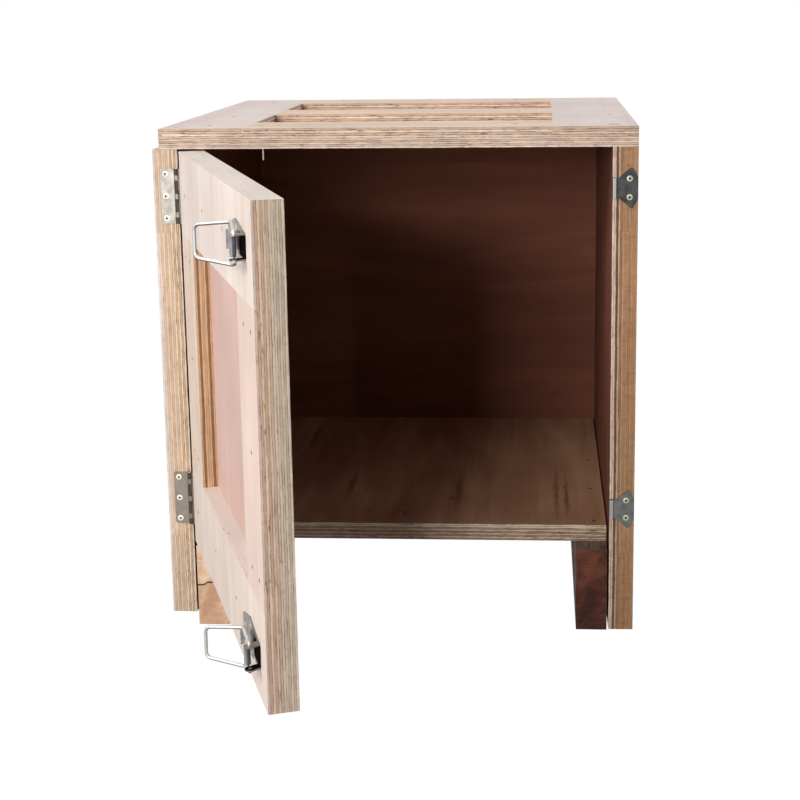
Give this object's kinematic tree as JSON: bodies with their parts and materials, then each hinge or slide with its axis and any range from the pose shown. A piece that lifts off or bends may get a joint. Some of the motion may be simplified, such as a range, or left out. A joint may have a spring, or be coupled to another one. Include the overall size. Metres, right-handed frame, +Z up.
{
  "type": "plywood shipping crate",
  "caption": "Square plywood shipping crate on two skids, with battened walls, a nailed lid and a side-hinged front door held by draw latches.",
  "frame": {"origin": "centre of the crate's footprint, on the floor under the skids", "axes": "+Z up, +X from the hinge side to the latch side as seen from the front, +Y from the door to the back wall"},
  "size_m": [0.575, 1.0594, 0.622],
  "materials": {
    "lid_plywood": "weathered planed plywood",
    "wall_plywood": "rough plywood with open edges",
    "door_plywood": "planed pale plywood",
    "base_plywood": "rough brown plywood",
    "skid_lumber": "rough sawn lumber",
    "zinc_plate": "zinc plated, dull",
    "zinc_wire": "zinc plated, bright",
    "screw_steel": "yellow zinc plated",
    "nail_steel": "plain steel, tarnished"
  },
  "bodies": {
    "crate": {"back_bottom_rail": "wall_plywood", "back_nails": "nail_steel", "back_panel": "wall_plywood", "back_stile_left": "wall_plywood", "back_stile_right": "wall_plywood", "back_top_rail": "wall_plywood", "base_nails": "nail_steel", "base_panel": "base_plywood", "hinge_frame_leaf_lower": "zinc_plate", "hinge_frame_leaf_upper": "zinc_plate", "hinge_frame_screws": "screw_steel", "hinge_pin_lower": "zinc_plate", "hinge_pin_upper": "zinc_plate", "lid_cross_batten_front": "lid_plywood", "lid_cross_batten_middle": "lid_plywood", "lid_cross_batten_rear": "lid_plywood", "lid_end_batten_left": "lid_plywood", "lid_end_batten_right": "lid_plywood", "lid_long_nail": "nail_steel", "lid_nails": "nail_steel", "lid_panel": "lid_plywood", "side_bottom_rail_left": "wall_plywood", "side_bottom_rail_right": "wall_plywood", "side_front_stile_left": "wall_plywood", "side_front_stile_right": "wall_plywood", "side_nails_left": "nail_steel", "side_nails_right": "nail_steel", "side_panel_left": "wall_plywood", "side_panel_right": "wall_plywood", "side_rear_stile_left": "wall_plywood", "side_rear_stile_right": "wall_plywood", "side_top_rail_left": "wall_plywood", "side_top_rail_right": "wall_plywood", "skid_left": "skid_lumber", "skid_right": "skid_lumber", "strike_lower": "zinc_plate", "strike_screws": "screw_steel", "strike_upper": "zinc_plate"},
    "door": {"door_bottom_rail": "door_plywood", "door_free_stile": "door_plywood", "door_hinge_stile": "door_plywood", "door_nails": "nail_steel", "door_panel": "door_plywood", "door_top_rail": "door_plywood", "hinge_door_leaf_lower": "zinc_plate", "hinge_door_leaf_upper": "zinc_plate", "hinge_door_screws": "screw_steel", "latch_base_lower": "zinc_plate", "latch_base_upper": "zinc_plate", "latch_screws": "screw_steel"},
    "bail_upper": {"latch_bail_upper": "zinc_wire"},
    "claw_upper": {"latch_claw_upper": "zinc_plate"},
    "bail_lower": {"latch_bail_lower": "zinc_wire"},
    "claw_lower": {"latch_claw_lower": "zinc_plate"}
  },
  "joints": [
    {"name": "door_swing", "type": "hinge", "parent": "crate", "child": "door", "pos_m": [-0.2587, -0.2907, 0.354], "axis": [0, 0, -1], "range_deg": [-70, 105]},
    {"name": "bail_upper_swing", "type": "hinge", "parent": "door", "child": "bail_upper", "pos_m": [-0.10132, -0.74444, 0.55], "axis": [0, 0, 1], "range_deg": [0, 150]},
    {"name": "claw_upper_swing", "type": "hinge", "parent": "bail_upper", "child": "claw_upper", "pos_m": [-0.10417, -0.73749, 0.55], "axis": [0, 0, -1], "range_deg": [-191, 0]},
    {"name": "bail_lower_swing", "type": "hinge", "parent": "door", "child": "bail_lower", "pos_m": [-0.10132, -0.74444, 0.157], "axis": [0, 0, 1], "range_deg": [0, 143.5]},
    {"name": "claw_lower_swing", "type": "hinge", "parent": "bail_lower", "child": "claw_lower", "pos_m": [-0.10494, -0.73786, 0.157], "axis": [0, 0, -1], "range_deg": [-191, 0]}
  ]
}
